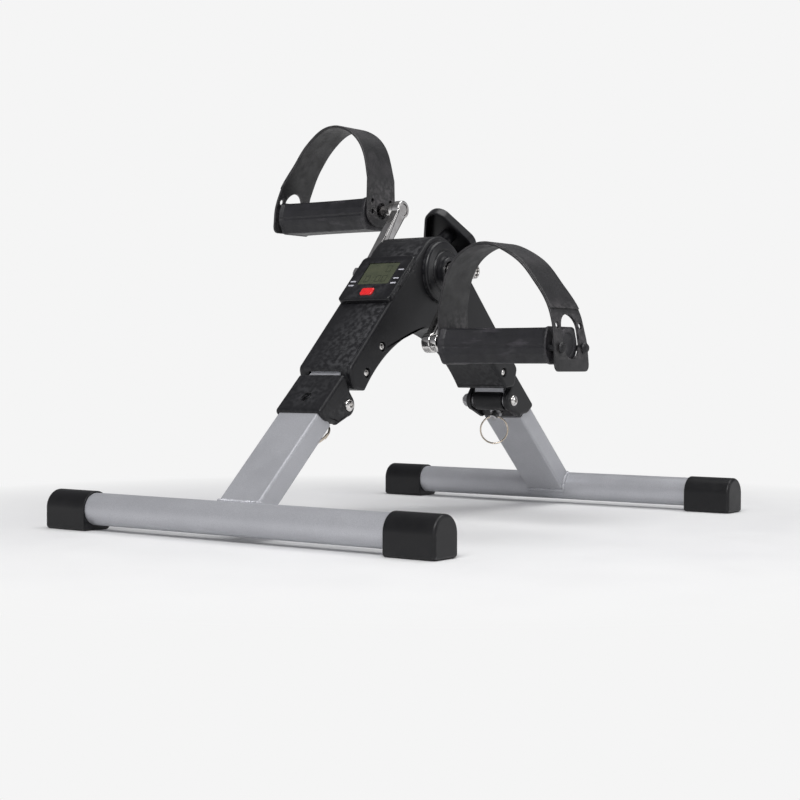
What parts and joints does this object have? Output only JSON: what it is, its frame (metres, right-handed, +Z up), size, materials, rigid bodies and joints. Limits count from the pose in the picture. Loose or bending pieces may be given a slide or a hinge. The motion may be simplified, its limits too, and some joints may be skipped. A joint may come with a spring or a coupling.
{
  "type": "pedal exerciser",
  "caption": "Folding under-desk pedal exerciser: silver legs on foot tubes, black housing, strapped pedals on a crank axle, friction knob and small counter.",
  "frame": {"origin": "on the floor, centred between the two foot tubes and between their ends", "axes": "+X from the counter's side to the far foot, +Y along the foot tubes to the left, +Z up"},
  "size_m": [0.508, 0.4, 0.365],
  "materials": {
    "silver_paint": "satin silver-grey powder coat on steel",
    "black_plastic": "fine-textured injection-moulded plastic",
    "pedal_plastic": "moulded plastic with a leathery texture",
    "strap_plastic": "flexible moulded plastic, slightly mottled",
    "chrome": "bright chrome plate",
    "zinc_steel": "zinc plated",
    "nickel_wire": "warm nickel-plated wire",
    "red_plastic": "glossy red push button",
    "display_glass": "grey-green liquid crystal display under clear plastic",
    "circuit_board": "green solder mask",
    "felt": "pressed felt"
  },
  "bodies": {
    "frame": {"main_frame": "silver_paint", "housing_shell": "black_plastic", "housing_side_cover": "black_plastic", "hub_cover_left": "black_plastic", "hub_cover_right": "black_plastic", "housing_screw_near_lower": "zinc_steel", "housing_screw_near_upper": "zinc_steel", "housing_screw_far_lower": "zinc_steel", "housing_screw_far_upper": "zinc_steel", "counter_case": "black_plastic", "counter_window": "display_glass", "circuit_board": "circuit_board", "button_cell": "zinc_steel", "bearing_left": "zinc_steel", "bearing_right": "zinc_steel", "reed_switch": "black_plastic"},
    "near_leg": {"near_foot_tube": "silver_paint", "near_foot_cap_left": "black_plastic", "near_foot_cap_right": "black_plastic", "near_leg_tube": "silver_paint", "near_hinge_bracket": "zinc_steel", "near_hinge_cover": "black_plastic", "near_pivot_bolt": "chrome", "near_pivot_nut": "zinc_steel"},
    "far_leg": {"far_foot_tube": "silver_paint", "far_foot_cap_left": "black_plastic", "far_foot_cap_right": "black_plastic", "far_leg_tube": "silver_paint", "far_hinge_bracket": "zinc_steel", "far_hinge_cover": "black_plastic", "far_pivot_bolt": "chrome", "far_pivot_nut": "zinc_steel"},
    "near_lock": {"near_lock_pin": "zinc_steel"},
    "far_lock": {"far_lock_pin": "zinc_steel"},
    "near_ring": {"near_pull_ring": "nickel_wire"},
    "far_ring": {"far_pull_ring": "nickel_wire"},
    "crank": {"axle": "chrome", "crank_left": "chrome", "crank_right": "chrome", "crank_nut_left": "chrome", "crank_nut_right": "chrome", "left_pedal_spindle": "chrome", "right_pedal_spindle": "chrome", "magnet_collar": "black_plastic"},
    "left_pedal": {"left_pedal_body": "pedal_plastic", "left_pedal_strap": "strap_plastic", "left_strap_peg_1": "black_plastic", "left_strap_peg_2": "black_plastic"},
    "right_pedal": {"right_pedal_body": "pedal_plastic", "right_pedal_strap": "strap_plastic", "right_strap_peg_1": "black_plastic", "right_strap_peg_2": "black_plastic"},
    "knob": {"tension_knob": "black_plastic", "tension_screw": "zinc_steel"},
    "pad": {"friction_pad": "felt"},
    "button": {"reset_button": "red_plastic"}
  },
  "joints": [
    {"name": "near_leg_fold", "type": "hinge", "parent": "frame", "child": "near_leg", "pos_m": [-0.12675, 0, 0.10468], "axis": [0, -1, 0], "range_deg": [0, 90]},
    {"name": "far_leg_fold", "type": "hinge", "parent": "frame", "child": "far_leg", "pos_m": [0.12675, 0, 0.10468], "axis": [0, 1, 0], "range_deg": [0, 90]},
    {"name": "near_lock_slide", "type": "slide", "parent": "near_leg", "child": "near_lock", "axis": [0.6794, 0, -0.7337], "range_m": [0, 0.02]},
    {"name": "far_lock_slide", "type": "slide", "parent": "far_leg", "child": "far_lock", "axis": [-0.6794, 0, -0.7337], "range_m": [0, 0.02]},
    {"name": "near_ring_swing", "type": "hinge", "parent": "near_lock", "child": "near_ring", "pos_m": [-0.13115, 0, 0.08943], "axis": [0, -1, 0], "range_deg": [0, 77]},
    {"name": "far_ring_swing", "type": "hinge", "parent": "far_lock", "child": "far_ring", "pos_m": [0.13115, 0, 0.08943], "axis": [-0.5097, 0.7193, 0.472], "range_deg": [-40, 30]},
    {"name": "crank_spin", "type": "hinge", "parent": "frame", "child": "crank", "pos_m": [0, 0, 0.22], "axis": [0, 1, 0], "continuous": true},
    {"name": "left_pedal_spin", "type": "hinge", "parent": "crank", "child": "left_pedal", "pos_m": [0.05145, 0, 0.28308], "axis": [0, 1, 0], "continuous": true},
    {"name": "right_pedal_spin", "type": "hinge", "parent": "crank", "child": "right_pedal", "pos_m": [-0.05145, 0, 0.15692], "axis": [0, 1, 0], "continuous": true},
    {"name": "tension_knob_turn", "type": "hinge", "parent": "frame", "child": "knob", "pos_m": [0.05062, 0, 0.25545], "axis": [-0.8191, 0, -0.5736], "range_deg": [0, 1080]},
    {"name": "friction_pad_slide", "type": "slide", "parent": "frame", "child": "pad", "axis": [-0.8191, 0, -0.5736], "range_m": [0, 0.0024]},
    {"name": "reset_button_press", "type": "slide", "parent": "frame", "child": "button", "axis": [0.7071, 0, -0.7071], "range_m": [0, 0.001], "stiffness_N_per_m": 400}
  ],
  "couplings": [
    {"joint": "tension_knob_turn", "follows": "friction_pad_slide", "rad_per_m": 7854}
  ]
}
